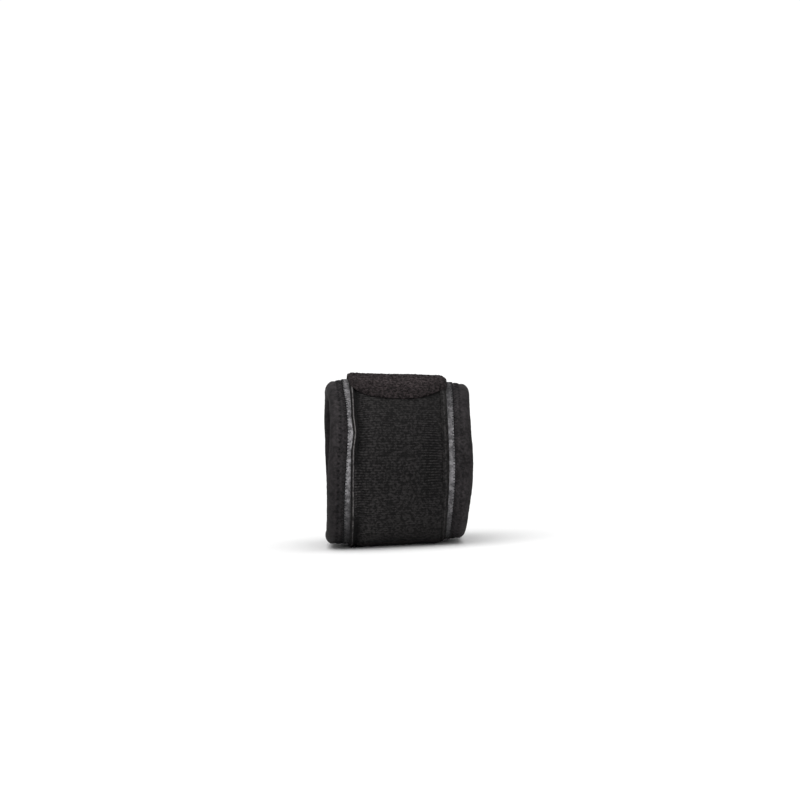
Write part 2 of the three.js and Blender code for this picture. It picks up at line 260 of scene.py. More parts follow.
def threads(name, across, level, place, heading, reach, rise, radius, sides=3, steps=6, marks=None):
    """Many bent threads as one mesh.

    A thread's middle line is an arch: it turns from a little below the cloth on one side, over the
    top and down on the other, reach long and rise high. Heading is its direction, as an angle from
    the direction across. Round each point of the line lies a ring of points, square to the line.
    """
    given = np.broadcast_arrays(across, level, place, heading, reach, rise, radius)
    across, level, place, heading, reach, rise, radius = (np.array(value, dtype=float) for value in given)
    turn = np.linspace(-0.2, math.pi + 0.2, steps)[None, :, None]
    upward = np.array([0.0, 1.0, 0.0])
    direction = np.stack([np.cos(heading), 0 * heading, np.sin(heading)], axis=-1)[:, None, :]
    beside = np.stack([-np.sin(heading), 0 * heading, np.cos(heading)], axis=-1)[:, None, :]
    reach, rise = reach[:, None, None], rise[:, None, None]
    middle = np.stack([across, level, place], axis=-1)[:, None, :]
    middle = middle - np.cos(turn) * reach / 2 * direction + np.sin(turn) * rise * upward
    tangent = np.sin(turn) * reach / 2 * direction + np.cos(turn) * rise * upward
    tangent = tangent / np.linalg.norm(tangent, axis=-1, keepdims=True)
    above = np.cross(np.broadcast_to(beside, tangent.shape), tangent)
    angle = (np.arange(sides) / sides * 2 * math.pi)[:, None]
    spoke = np.cos(angle) * beside[:, :, None, :] + np.sin(angle) * above[:, :, None, :]
    ring = middle[:, :, None, :] + spoke * radius[:, None, None, None]
    index = np.arange(ring[..., 0].size).reshape(ring.shape[:3])
    here, ahead = index[:, :-1], index[:, 1:]
    corners = [here, ahead, np.roll(ahead, -1, axis=2), np.roll(here, -1, axis=2)]
    quads = np.stack(corners, axis=-1).reshape(-1, 4)
    caps = np.concatenate([index[:, 0], index[:, -1, ::-1]])
    each = {mark: np.repeat(values, steps * sides) for mark, values in (marks or {}).items()}
    points = on_cuff(ring[..., 0], ring[..., 1], ring[..., 2])
    return mesh_object(name, points, quads.tolist() + caps.tolist(), None, each)


# %% [markdown]
# ## Shader maths in plain expressions
# A material is a net of nodes. Sums and products of masks are easier to read as expressions, so one
# small class stands for an output of a node, and arithmetic on it adds the Math nodes.

# %% Values of a material


class Value:
    """An output of a material's node. Arithmetic on it adds Math nodes."""

    def __init__(self, tree, socket=None):
        self.tree = tree
        self.socket = socket

    def node(self, kind, settings=None, inputs=None, output=0):
        """Adds a node of any kind: its settings first, then the values or links of its inputs."""
        made = self.tree.nodes.new(kind)
        for setting, value in (settings or {}).items():
            setattr(made, setting, value)
        for socket, value in (inputs or {}).items():
            if isinstance(value, Value):
                self.tree.links.new(value.socket, made.inputs[socket])
            else:
                made.inputs[socket].default_value = value
        return Value(self.tree, made.outputs[output]) if made.outputs else None

    def maths(self, operation, first, second=0.0):
        return self.node("ShaderNodeMath", {"operation": operation}, {0: first, 1: second})

    def __add__(self, other):
        return self.maths("ADD", self, other)

    def __radd__(self, other):
        return self.maths("ADD", other, self)

    def __sub__(self, other):
        return self.maths("SUBTRACT", self, other)

    def __rsub__(self, other):
        return self.maths("SUBTRACT", other, self)

    def __mul__(self, other):
        return self.maths("MULTIPLY", self, other)

    def __rmul__(self, other):
        return self.maths("MULTIPLY", other, self)

    def sine(self):
        return self.maths("SINE", self)

    def size(self):
        return self.maths("ABSOLUTE", self)

    def rise(self, low, high):
        """An S-curve from 0 at low to 1 at high."""
        settings = {"interpolation_type": "SMOOTHSTEP"}
        return self.node("ShaderNodeMapRange", settings, {0: self, 1: low, 2: high, 3: 0.0, 4: 1.0})

    def part(self, axis):
        """One of the three numbers of this vector."""
        return self.node("ShaderNodeSeparateXYZ", None, {0: self}, output=axis)

    def mark(self, name):
        """A point attribute of the piece."""
        return self.node("ShaderNodeAttribute", {"attribute_name": name}, output="Fac")

    def noise(self, scale, detail=3.0, roughness=0.55):
        """Blender's noise on this vector, with features about one part in scale of a metre."""
        inputs = {"Vector": self, "Scale": scale, "Detail": detail, "Roughness": roughness}
        return self.node("ShaderNodeTexNoise", None, inputs)

    def cells(self, scale):
        """The distance to the nearest of many scattered points, on this vector."""
        return self.node("ShaderNodeTexVoronoi", None, {"Vector": self, "Scale": scale})

    def blend(self, first, second):
        """A colour between two colours, with this value as the share of the second."""
        return self.node("ShaderNodeMix", {"data_type": "RGBA"}, {0: self, 6: first, 7: second}, output=2)


def cloth_material(name, paint, sheen, depth):
    """A cloth material. paint gets the point and the cloth's own place, as vectors, and gives the
    colour, the roughness and the height of the bump, which is depth metres high.

    Sheen is the pale glow of fine fibres at the edge of cloth. It is the same all over, so it is set
    on the shader's own socket.
    """
    material = bpy.data.materials.new(name)
    material.use_nodes = True
    tree = material.node_tree
    tree.nodes.clear()
    net = Value(tree)
    where = net.node("ShaderNodeTexCoord", output="Object")
    cloth = net.node("ShaderNodeUVMap", {"uv_map": "cloth"})
    colour, roughness, height = paint(where, cloth)
    normal = net.node("ShaderNodeBump", None, {"Distance": depth, "Height": height})
    inputs = {
        "Base Color": colour,
        "Roughness": roughness,
        "Normal": normal,
        "Specular IOR Level": 0.12,
        "Sheen Weight": sheen,
        "Sheen Roughness": 0.5,
    }
    shader = net.node("ShaderNodeBsdfPrincipled", None, inputs)
    net.node("ShaderNodeOutputMaterial", None, {"Surface": shader})
    print(name, "has", len(tree.nodes), "nodes")
    return material


def finish(piece, material, slot, *nodes):
    """Gives a piece its material, hides the plain solids of the nodes it stands for, and lets it ride on the
    root. The slot is not used.
    """
    piece.data.materials.append(material)
    if nodes:
        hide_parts(*nodes)
    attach(piece, "root")
    return piece


# %% [markdown]
# ## The cloths
# The strap is a black stretch knit with fine ribs. The yarn on the crest of a rib catches light, so
# the crests get a painted highlight that makes them paler than the grooves. The crest is worked out
# with the shape and stored on each point, so that painted highlight and shape agree. The same mark
# also carries painted shade and painted light elsewhere on the strap and its welts.

# %% Black knit


def paint_black_knit(where, cloth):
    """Black yarn, with the painted highlight, painted shade and painted light of its crest mark, a fine
    speckle of stitches and a few dusty patches.
    """
    crest_and_painted_light = where.mark("crest_and_painted_light")
    speckle = where.noise(700, 2.0, 0.7).rise(0.42, 0.60)
    patches = where.noise(120, 3.0).rise(0.3, 0.75)
    light = (crest_and_painted_light * 0.8 + patches * 0.1) * (0.4 + speckle * 1.2) + speckle * 0.6
    colour = (light * 0.106).blend((0.0016, 0.0015, 0.0015, 1), (0.125, 0.117, 0.117, 1))
    return colour, 0.82 + speckle * 0.12, speckle * 0.6 + where.cells(2200) * 0.5


black_knit = cloth_material("black knit", paint_black_knit, sheen=0.0, depth=0.00012)

# %% [markdown]
# The bindings are a smoother stretch cloth. Its fine lines run round the cuff, so they follow the
# cloth's own UV map. The holes of the stitches are darker, because little light reaches into them.

# %% Stretch binding
BINDING_LINE = 0.00075


def paint_binding(where, cloth):
    """Black jersey: fine lines along the cloth, soft patches where it is stretched, painted shade in the
    holes and on the rounded outer edge, and painted light on the cuff's top.
    """
    lines = (cloth.part(1) * (2 * math.pi / BINDING_LINE) + where.noise(300) * 4).sine() * 0.5 + 0.5
    patches = where.noise(160, 4.0).rise(0.3, 0.7)
    speckle = where.noise(700, 2.0, 0.7).rise(0.42, 0.60)
    # Painted shade on the rounded outer edge, which turns away from the light.
    edge_shade = where.part(0).size().rise(0.0330, 0.0375)
    # Painted light on the top of the cuff.
    high = where.part(2).rise(0.084, 0.0945)
    light = (lines * 0.1 + patches * 0.4 + speckle * 0.5) * (1 - where.mark("hole"))
    light = light * (1 - edge_shade * 0.3) * (1 + high * 0.9)
    colour = light.blend((0.0034, 0.0030, 0.0032, 1), (0.0400, 0.0355, 0.0375, 1))
    return colour, 0.72 + speckle * 0.15, lines * 0.4 + speckle * 0.6


binding_cloth = cloth_material("stretch binding", paint_binding, sheen=0.0, depth=0.00008)

# %% [markdown]
# The grey strip is loop cloth, the soft half of a hook-and-loop closure. Its fibres lie in tufts, so
# it is mottled. Each loose loop has its own shade, stored on its points.

# %% Grey loop cloth


def paint_grey_loop(where, cloth):
    """Grey fibres in pale and dark tufts, darkened by painted shade."""
    tufts = where.noise(330, 2.0, 0.6).rise(0.38, 0.62)
    fibres = where.noise(1500, 2.0, 0.7).rise(0.35, 0.65)
    light = tufts * 0.4 + fibres * 0.25 + where.mark("shade") * 0.25 + 0.06
    # Painted shade, most low on the front and beneath the cuff.
    light = light * (1 - where.mark("painted_shade") * 0.8)
    colour = light.blend((0.030, 0.029, 0.031, 1), (0.58, 0.565, 0.585, 1))
    return colour, 0.9 + fibres * 0.1, fibres * 0.5 + tufts * 0.5


grey_loop = cloth_material("grey loop", paint_grey_loop, sheen=0.1, depth=0.0002)

# %% [markdown]
# The tab shows the back of its hook tape: a coarse looped pile, brownish beside the strap.

# %% Pile of the tab


def paint_pile(where, cloth):
    """Brownish black pile, with painted shade that makes it nearly black deep between its loops and darker
    towards the rounded tip.
    """
    depth = where.noise(800, 2.0, 0.7).rise(0.42, 0.59)
    # Painted shade deep between the loops and towards the tab's rounded tip.
    light = (depth * 0.65 + where.mark("shade") * 0.35) * (0.52 + where.mark("clear_of_tip_shade") * 0.5)
    colour = light.blend((0.0024, 0.0018, 0.0019, 1), (0.070, 0.056, 0.058, 1))
    return colour, 0.9 + depth * 0.1, depth + where.cells(1300) * 0.5


hook_pile = cloth_material("hook pile", paint_pile, sheen=0.0, depth=0.0003)

# %% [markdown]
# The lining is thin black jersey on foam. Sewing thread is twisted and a little shiny.

# %% Lining and thread
LINING_LINE = 0.0012


def paint_lining(where, cloth):
    """Black jersey with fine ribs across the cuff."""
    lines = (cloth.part(0) * (2 * math.pi / LINING_LINE) + where.noise(200) * 3).sine() * 0.5 + 0.5
    patches = where.noise(90, 4.0).rise(0.3, 0.7)
    light = lines * 0.35 + patches * 0.65
    colour = light.blend((0.008, 0.0078, 0.0085, 1), (0.020, 0.0195, 0.021, 1))
    return colour, 0.8 + patches * 0.1, lines


def paint_thread(where, cloth):
    """Black sewing thread, in slightly different shades."""
    light = where.noise(2500, 2.0).rise(0.3, 0.7)
    return light.blend((0.006, 0.006, 0.0065, 1), (0.022, 0.0215, 0.023, 1)), 0.5 + light * 0.2, light


foam_lining = cloth_material("foam lining", paint_lining, sheen=0.05, depth=0.00008)
black_thread = cloth_material("black thread", paint_thread, sheen=0.0, depth=0.00005)

# %% [markdown]
# ## The layers
# The cloths lie on each other like the pages of a book. From the strap's outer face inwards come the
# strap, the grey strip and the foam, each a hair's breadth from the next.

# %% Levels and widths
FOAM_THICKNESS = 0.0038
BINDING_THICKNESS = 0.0010
PANEL_THICKNESS = 0.0010
STRAP_THICKNESS = 0.0022
TAB_THICKNESS = 0.0012
GAP = 0.0003
BINDING_WIDTH = 0.0097
BINDING_TURN_UNDER = 0.0070
STRAP_WIDTH = 0.0546
STRAP_OFFSET = -0.0006  # of the strap from the middle of the band, towards the elbow
WELT_WIDTH = 0.0038

STRAP_UNDERSIDE = -STRAP_THICKNESS
PANEL_TOP = STRAP_UNDERSIDE - GAP
FOAM_TOP = PANEL_TOP - PANEL_THICKNESS - GAP
FOAM_UNDERSIDE = FOAM_TOP - FOAM_THICKNESS
FOAM_HALF = BAND_WIDTH / 2 - BINDING_THICKNESS - GAP
PANEL_HALF = BAND_WIDTH / 2 - BINDING_WIDTH - GAP
STRAP_HALF = STRAP_WIDTH / 2
STRAP_EDGES = {-1: STRAP_HALF - STRAP_OFFSET, 1: STRAP_HALF + STRAP_OFFSET}
WELT_INNER = STRAP_HALF - WELT_WIDTH
FACE_HALF = WELT_INNER - GAP


print("the foam lies", round(-FOAM_TOP * 1000, 1), "mm below the strap's face")


def even(points, count):
    """Points spread evenly along a line of straight stretches, by their distance along it."""
    points = np.asarray(points, dtype=float)
    walked = np.concatenate([[0], np.cumsum(np.hypot(*np.diff(points, axis=0).T))])
    distance = np.linspace(0, walked[-1], count)
    return np.stack([np.interp(distance, walked, points[:, axis]) for axis in (0, 1)], axis=-1)


def foam_edge(swollen):
    """The wrist-side edge of the foam, swollen outwards by a distance, from outside to inside.

    It is two quarter circles, a large one outside and a small one inside.
    """
    outer, inner = 0.85 * FOAM_THICKNESS, 0.15 * FOAM_THICKNESS
    down = np.linspace(math.pi / 2, 0, 25)
    under = np.linspace(0, -math.pi / 2, 13)[1:]
    across = [
        FOAM_HALF - outer + (outer + swollen) * np.cos(down),
        FOAM_HALF - inner + (inner + swollen) * np.cos(under),
    ]
    level = [
        FOAM_TOP - outer + (outer + swollen) * np.sin(down),
        FOAM_UNDERSIDE + inner + (inner + swollen) * np.sin(under),
    ]
    return np.stack([np.concatenate(across), np.concatenate(level)], axis=-1)


def mirrored(section):
    """The same section on the elbow side, still going from the elbow to the wrist."""
    return (section * (-1, 1))[::-1]


# %% [markdown]
# ## The foam band
# The foam is a sheet of soft rubber lined with jersey. Bending it into a loop pushes its inside
# together, so the lining lies in shallow wrinkles from edge to edge. They are worked out as noise
# that is long across the band and short round it, and fade out under the bindings.

# %% Foam band
FOAM_ROUNDS = 480
WRINKLE_DEPTH = 0.00045
WRINKLE_FADE = 0.006  # from none at the binding to full wrinkles


def round_places(count):
    """Places all round the cuff, one for each section of a closed skin."""
    return (np.arange(count) / count - 0.5)[:, None] * LOOP


def foam_band():
    """The band's section round the cuff: two straight sides between the rounded edges.

    The inside sinks by the wrinkles' depth times two noises, and not at all under the bindings.
    """
    place = round_places(FOAM_ROUNDS)
    edge = even(foam_edge(0), 12)
    outside = np.linspace(-1, 1, 12)[1:-1] * edge[0, 0]
    outside = np.stack([outside, np.full(len(outside), FOAM_TOP)], axis=-1)
    inside = np.linspace(1, -1, 38)[1:-1] * edge[-1, 0]
    inside = np.stack([inside, np.full(len(inside), FOAM_UNDERSIDE)], axis=-1)
    section = np.concatenate([mirrored(edge), outside, edge, inside])
    across, level = section[None, :, 0], section[None, :, 1]
    bare = smooth_step(BAND_WIDTH / 2 - BINDING_TURN_UNDER - 0.001 - np.abs(across), 0, WRINKLE_FADE)
    wrinkle = soft_noise(11, place, across, 0.007, 0.030) * 0.6
    wrinkle = wrinkle + soft_noise(12, place, across, 0.0035, 0.018) * 0.4
    sunk = np.where(level < FOAM_UNDERSIDE + 1e-5, WRINKLE_DEPTH * bare * wrinkle, 0)
    return skin("foam_band_dressed", across, level + sunk, place, closed=True)


band = finish(foam_band(), foam_lining, "foam_lining", "foam_band")

# %% [markdown]
# ## The bindings
# Each edge of the foam is wrapped in a strip of stretch cloth, folded over it and sewn down by two
# rows of stitches with a zigzag between them. The rows pull the cloth down into the foam, and beyond
# them it puffs up round the edge. A cushion's cloth is often found by simulation. A binding is only
# 17 mm of tight cloth, and its puckers repeat with the stitches, so a formula gives them better.

# %% Binding skins
STITCH_PITCH = 0.0041
STITCHES = round(LOOP / STITCH_PITCH)
BINDING_ROUNDS = 900
SEAM_OUTER = 0.0043  # from the binding's cut end to the row of stitches near the foam's edge
SEAM_INNER = 0.0011
PUFF_HEIGHT = 0.00042
PUCKER_HEIGHT = 0.00007
BETWEEN_HEIGHT = 0.00016
GROOVE_DEPTH = 0.00022
HOLE_DEPTH = 0.00036
END_DROP = 0.0005
FINE_BUMPS = 0.00006
CALMED = 0.7  # the share of the seam's relief that the top takes away
CALM_LENGTH = 0.2  # as a share of half the loop


def binding_section(seed):
    """The wrist-side binding as grids of across and level, and of the painted shade in its stitches' holes.

    The outer skin follows the swollen edge of the foam. Its height over that line is the sum of a
    puff beyond the seam, a groove and dimples along each row of stitches, puckers that fan out from
    the stitches, and slow unevenness. Over the top of the cuff the seam's relief is calmer.
    """
    place = round_places(BINDING_ROUNDS)
    outer_line = foam_edge(GAP + BINDING_THICKNESS)
    inner_line = foam_edge(GAP)[::-1]
    start, stop = BAND_WIDTH / 2 - BINDING_WIDTH, BAND_WIDTH / 2 - BINDING_TURN_UNDER
    outer = even([(start, outer_line[0, 1]), *outer_line, (stop, outer_line[-1, 1])], 42)
    inner = even([(stop, inner_line[0, 1]), *inner_line, (start, inner_line[-1, 1])], 18)
    walked = np.concatenate([[0], np.cumsum(np.hypot(*np.diff(outer, axis=0).T))])[None, :]
    tangent = np.gradient(outer, axis=0)
    tangent /= np.linalg.norm(tangent, axis=1, keepdims=True)
    turn = place / LOOP * STITCHES * 2 * math.pi
    uneven = soft_noise(seed, place, walked, 0.009, 0.006)
    fine = soft_noise(seed + 1, place, walked, 0.0022, 0.0025)
    beyond = np.maximum(walked - SEAM_OUTER, 0)
    puff = smooth_step(beyond, 0.0002, 0.0030) * (1 - smooth_step(walked, 0.012, 0.018))
    pucker = np.exp(-beyond / 0.0030) * (walked > SEAM_OUTER)
    between = swell(walked, (SEAM_INNER + SEAM_OUTER) / 2, 0.0018)
    calm = 1 - CALMED * swell(place, 0, CALM_LENGTH * HALF_LOOP)
    holes = 1.5 * swell(walked, SEAM_OUTER, 0.0014) * np.maximum(np.cos(turn), 0) ** 1.5
    holes = np.minimum(1, holes + 0.7 * swell(walked, SEAM_INNER, 0.0009) * np.maximum(-np.cos(turn), 0))
    height = PUFF_HEIGHT * puff * (1 + 0.35 * uneven)
    height = height + (PUCKER_HEIGHT * pucker * np.cos(turn) + BETWEEN_HEIGHT * between * (1 + uneven)) * calm
    for row, phase in ((SEAM_OUTER, 0.0), (SEAM_INNER, math.pi)):
        hole = np.maximum(np.cos(turn + phase), 0) ** 6
        height = height - swell(walked, row, 0.0011) * (GROOVE_DEPTH + HOLE_DEPTH * hole) * calm
    end = 1 - smooth_step(walked, 0, 0.0007)
    height = height - END_DROP * end * end + FINE_BUMPS * fine
    across = outer[None, :, 0] - tangent[None, :, 1] * height
    level = outer[None, :, 1] + tangent[None, :, 0] * height
    rows = (BINDING_ROUNDS, len(inner))
    across = np.concatenate([across, np.broadcast_to(inner[None, :, 0], rows)], axis=1)
    level = np.concatenate([level, np.broadcast_to(inner[None, :, 1], rows)], axis=1)
    holes = np.concatenate([holes * calm, np.zeros(rows)], axis=1)
    return across, level, holes


# Where a binding is sewn on narrower, on the elbow side, -1, and the wrist side, 1: rows as in DRAWN_IN.
SEWN_NARROWER = {
    -1: [(0.13, 0.0013, 0.24), (0.68, 0.0012, 0.3), (-0.3, 0.0008, 0.3)],
    1: [(0.2, 0.0005, 0.2), (-0.7, 0.0008, 0.3)],
}
SEWN_PART = (0.0297, 0.0370)  # from the cut end, where all of it shows, to where none does
HOLE_SHADE = {-1: 1, 1: 0.6}  # how dark the holes of the stitches are on each side


def sewn_shift(side, across, place):
    """How far the cloth near a binding's cut end lies outwards, because the strip is narrower there."""
    narrower = rises(place, SEWN_NARROWER[side])
    near_end = 1 - smooth_step(np.abs(across), *SEWN_PART)
    return side * narrower * near_end * smooth_step(np.abs(across), STRAP_HALF + 0.0008, SEWN_PART[0])


def binding(name, side, seed):
    """A binding on the elbow side, -1, or the wrist side, 1: the one is the other mirrored."""
    across, level, holes = binding_section(seed)
    if side < 0:
        across, level, holes = -across[:, ::-1], level[:, ::-1], holes[:, ::-1]
    place = round_places(BINDING_ROUNDS)
    across = across + np.where(level > FOAM_TOP, sewn_shift(side, across, place), 0)
    return skin(name, across, level, place, True, {"hole": holes * HOLE_SHADE[side]})


elbow_binding = finish(binding("elbow_binding", -1, 21), binding_cloth, "edge_binding", "elbow_edge_binding")
wrist_binding = finish(binding("wrist_binding", 1, 31), binding_cloth, "edge_binding", "wrist_edge_binding")

# %% [markdown]
# The zigzag is real thread. One leg runs from the inner row to the outer row and the next one back,
# so every second leg leans the other way. A row of short overlock stitches covers the binding's cut
# end and reaches a little way onto the grey, which gives the grey strip its ragged border.

# %% Stitches of the bindings
THREAD_RADIUS = 0.00016
OVERLOCK_PITCH = 0.0019


def zigzag(side):
    """The legs of the zigzag: their middles lie between the rows and their heading alternates."""
    legs = np.arange(2 * STITCHES)
    place = (legs + 0.5) / (2 * STITCHES) * LOOP - HALF_LOOP
    step, reach_across = LOOP / STITCHES / 2, SEAM_OUTER - SEAM_INNER
    lean = np.arctan2(step * np.where(legs % 2, 1, -1), reach_across * side)
    middle = side * (BAND_WIDTH / 2 - BINDING_WIDTH + (SEAM_INNER + SEAM_OUTER) / 2)
    return threads(
        "elbow_zigzag" if side < 0 else "wrist_zigzag",
        across=middle + sewn_shift(side, middle, place),
        level=PANEL_TOP - 0.00022,
        place=place,
        heading=lean,
        reach=math.hypot(step, reach_across) * 1.02,
        rise=0.00042,
        radius=THREAD_RADIUS,
        sides=5,
        steps=9,
    )


def overlock(side):
    """Short stitches across the binding's cut end, a little uneven."""
    count = round(LOOP / OVERLOCK_PITCH)
    random = np.random.default_rng(41 + side)
    place = (np.arange(count) + 0.5) / count * LOOP - HALF_LOOP + random.uniform(-1, 1, count) * 0.0002
    across = side * (PANEL_HALF + 0.0001 + random.uniform(-1, 1, count) * 0.0002)
    return threads(
        "elbow_overlock" if side < 0 else "wrist_overlock",
        across=across + sewn_shift(side, across, place),
        level=PANEL_TOP - 0.0001,
        place=place,
        heading=random.uniform(-0.25, 0.25, count) + 0.2,
        reach=0.0015 + random.uniform(-1, 1, count) * 0.0003,
        rise=0.00045,
        radius=0.00026,
        sides=5,
        steps=8,
    )


for side in (-1, 1):
    for sewn in (zigzag(side), overlock(side)):
        finish(sewn, black_thread, "edge_binding")

# %% [markdown]
# ## The grey strip
# The loop cloth is brushed, so it has no smooth surface at all. Displacement alone would look like
# plaster. So the cloth itself is only a little bumpy, and thousands of loose loops stand on the two
# narrow strips that show beside the strap.

# %% Grey panel
PANEL_ROUNDS = 720
GREY_LOOPS = 3000  # on each side
PANEL_SWELL = 0.00015  # by which the cloth rises where it shows
PANEL_TUFTS = 0.00012


def painted_shade(place, across):
    """How much painted shade darkens the grey cloth: most low on the front and beneath the cuff, and more on
    its wrist side, near the top and on the back.
    """
    share = place / HALF_LOOP
    beneath = smooth_step(-share, 0.8, 1)
    elbow = 0.55 * swell(share, 0.12, 0.32) + 1.18 * (smooth_step(share, 0.44, 0.80) + beneath)
    wrist = 0.56 + 0.5 * swell(share, 0.1, 0.3) + 0.6 * (smooth_step(share, 0.58, 0.82) + beneath)
    return np.where(across < 0, elbow, wrist) + 0.4 * swell(share, -0.5, 0.3)


def grey_panel():
    """A flat band whose outside is swollen and bumpy, by noise, where it shows beside the strap."""
    place = round_places(PANEL_ROUNDS)
    shows = even([(STRAP_EDGES[1] - 0.0012, 0), (PANEL_HALF, 0)], 15)[:, 0]
    middle = np.linspace(-1, 1, 7)[1:-1] * shows[0]
    outside = np.concatenate([-shows[::-1], middle, shows])
    inside = np.linspace(PANEL_HALF, -PANEL_HALF, 5)
    across = np.concatenate([outside, inside])[None, :]
    level = np.repeat([PANEL_TOP, PANEL_TOP - PANEL_THICKNESS], [len(outside), len(inside)])[None, :]
    edge = np.where(across < 0, STRAP_EDGES[-1], STRAP_EDGES[1])
    bare = smooth_step(np.abs(across), edge, edge + 0.0006)
    tufts = soft_noise(51, place, across, 0.0011, 0.0009) * PANEL_TUFTS
    swollen = np.where(level > PANEL_TOP - 1e-6, bare * (PANEL_SWELL + tufts), 0)
    shift = sewn_shift(-1, np.minimum(across, 0), place) + sewn_shift(1, np.maximum(across, 0), place)
    across = across + shift
    marks = {"shade": np.broadcast_to(0.35, across.shape), "painted_shade": painted_shade(place, across)}
    return skin("grey_panel_dressed", across, level + swollen, place, True, marks)


def grey_pile(side, count):
    """Loose loops, scattered over one of the strips that show."""
    random = np.random.default_rng(61 + side)
    across = side * random.uniform(STRAP_EDGES[side] + 0.0003, PANEL_HALF - 0.0001, count)
    place = random.uniform(-HALF_LOOP, HALF_LOOP, count)
    return threads(
        "elbow_grey_pile" if side < 0 else "wrist_grey_pile",
        across=across + sewn_shift(side, across, place),
        level=PANEL_TOP + 0.0001,
        place=place,
        heading=random.uniform(0, math.pi, count),
        reach=random.uniform(0.0004, 0.0011, count),
        rise=random.uniform(0.0001, 0.0005, count),
        radius=random.uniform(0.00005, 0.0001, count),
        steps=5,
        marks={"shade": random.uniform(0, 1, count) ** 1.3, "painted_shade": painted_shade(place, across)},
    )


panel = finish(grey_panel(), grey_loop, "grey_loop", "grey_panel")
piles = [finish(grey_pile(side, GREY_LOOPS), grey_loop, "grey_loop") for side in (-1, 1)]

# %% [markdown]
# ## The tension strap
# The strap is a stretch knit with ribs across it. They are strongest beside the elbow-side welt,
# where the seam gathers them, and on the front of the wrist side, where the strap is pulled. They
# fade in the middle. Each rib wavers a little, because the cloth is under tension. The ribs are real
# shape, and a painted highlight on their crests is stored for the material.

# %% The strap's relief
TAB_FRONT = 0.034
TAB_BACK = 0.048
TAB_TIP_LENGTH = 0.019
TAB_TIP_POWER = 2.5
TAB_TIP_SLANT = 0.0035  # by which the wrist side of the tip ends earlier
TAB_HALF = 0.0278
TAB_OFFSET = -0.0003
STRAP_END_SPACE = 0.005
PRESS_FADE = 0.012
REST_FADE = 0.014
FACE_SINK = 0.0009
SHOULDER_DROP = 0.0015
SHOULDER_WIDTH = 0.0036
SHOULDER_FOOT = (0.62 * HALF_LOOP, 0.85 * HALF_LOOP)  # from where to where the shoulder gets wider
PINCH_PLACE = 0.37 * HALF_LOOP
PINCH_DEPTH = 0.3 * WELT_WIDTH
PINCH_LENGTH = 3 * WELT_WIDTH
RIB_PITCH = 0.00150
SEWN_TO_WELT = 0.00028  # by which the face reaches further than its solid, up to the welts
STRAP_ROWS = 1300
RIB_DEPTH = 0.00016
GATHERED_DEPTH = 0.00034  # added to the ribs beside the elbow-side welt
PULLED_DEPTH = 0.00012  # added to them on the wrist side
SLOW_BUMPS = 0.00012
UNDER_TIP = 0.004  # by which the strap's relief begins under the tab's tip
print("the strap has", round(LOOP / RIB_PITCH), "ribs all round")


def clear_of_rest(place):
    """0 where the surface below presses the strap flat, 1 away from it."""
    return smooth_step(HALF_LOOP - REST_WIDTH / 2 - np.abs(place), 0, REST_FADE)


def relief_at(place, front_end):
    """1 where the strap's relief shows in full, 0 under the tab and where the surface presses it."""
    past_tab = np.where(place > 0, place - front_end, -place - TAB_BACK)
    return clear_of_rest(place) * smooth_step(past_tab, 0, PRESS_FADE)


def shoulder_drop(across, place=0.0):
    """How far the strap falls away towards its wrist-side edge, over a wider stretch at the foot."""
    foot = smooth_step(np.abs(place), *SHOULDER_FOOT)
    width = SHOULDER_WIDTH * (1 + 1.2 * foot)
    past = np.maximum(0, across - (STRAP_HALF - width)) / width
    return SHOULDER_DROP * (1 + 0.2 * foot) * past**2


def pinch_at(place):
    """How far the strap's elbow-side edge is drawn in at a place."""
    return PINCH_DEPTH * swell(place, PINCH_PLACE, PINCH_LENGTH)


def tip_slant(across, into_tip):
    """How far the tab's cloth lies back because its tip is cut aslant."""
    return TAB_TIP_SLANT * smooth_step(across, 0.3 * TAB_HALF, TAB_HALF) * smooth_step(into_tip, 0, 1)


def tab_edge(across):
    """The place where the tab's rounded tip ends, at a distance from the tab's middle line."""
    share = np.clip(np.abs(across) / TAB_HALF, 0, 1)
    tip = (1 - share**TAB_TIP_POWER) ** (1 / TAB_TIP_POWER)
    return TAB_FRONT - TAB_TIP_LENGTH * (1 - tip) - tip_slant(across, 1)


def strap_places(count):
    """Places from the strap's front end round the cuff to its back end, under the tab."""
    along = np.linspace(STRAP_END_SPACE / 2, LOOP - STRAP_END_SPACE / 2, count)[:, None]
    return np.where(along > HALF_LOOP, along - LOOP, along)


def rib_turn(place):
    """The angle of the ribs' wave at a place: a whole number of turns round the cuff."""
    return place / LOOP * round(LOOP / RIB_PITCH) * 2 * math.pi


def ribs(place, across, strength):
    """Wavering ribs across the strap, from 0 in a groove to 1 on a crest."""
    waver = soft_noise(71, place, across, 0.012, 0.010) * 0.9
    waver = waver + soft_noise(72, place, across, 0.004, 0.006) * 0.5
    wave = 0.5 + 0.5 * np.cos(rib_turn(place) + waver * 2)
    knots = soft_noise(73, place, across, 0.0011, 0.0013) * 0.5 + 0.5
    return strength * wave + (1 - strength) * knots


def flutes(place):
    """Painted highlights of short folds beside the elbow-side ridge, low in front: 1 on a fold, 0 between
    folds.
    """
    wave = 0.5 + 0.5 * np.cos(rib_turn(place))
    return wave * swell(place, 0.58 * HALF_LOOP, 0.15 * HALF_LOOP)


# %% The strap's face


